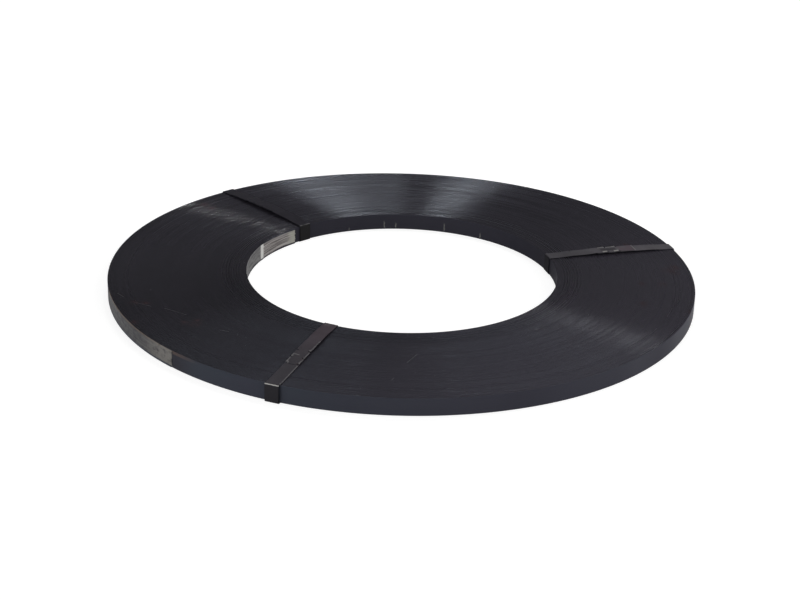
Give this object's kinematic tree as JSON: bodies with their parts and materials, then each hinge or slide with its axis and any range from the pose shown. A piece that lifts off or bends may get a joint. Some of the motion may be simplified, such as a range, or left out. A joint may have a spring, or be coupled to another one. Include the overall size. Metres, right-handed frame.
{
  "type": "steel strapping coil",
  "caption": "Flat ribbon-wound coil of dark steel strapping with a round bore, bound by narrow tie bands that run round its section and close in lapped notch joints.",
  "frame": {"origin": "on the coil's axis, at the height of the undersides of the ties that the coil rests on", "axes": "+Z along the coil's axis, towards the side with the lap joints; +X points a little clockwise of the first tie"},
  "size_m": [0.5639, 0.564, 0.0183],
  "materials": {
    "strap_paint": "semi-gloss black-blue strapping coat",
    "tie_steel": "satin grey-black strapping, worn at the bends"
  },
  "bodies": {
    "root": {"strap_coil": "strap_paint", "tie_right": "tie_steel", "tie_back_left": "tie_steel", "tie_front_left": "tie_steel"}
  },
  "joints": []
}
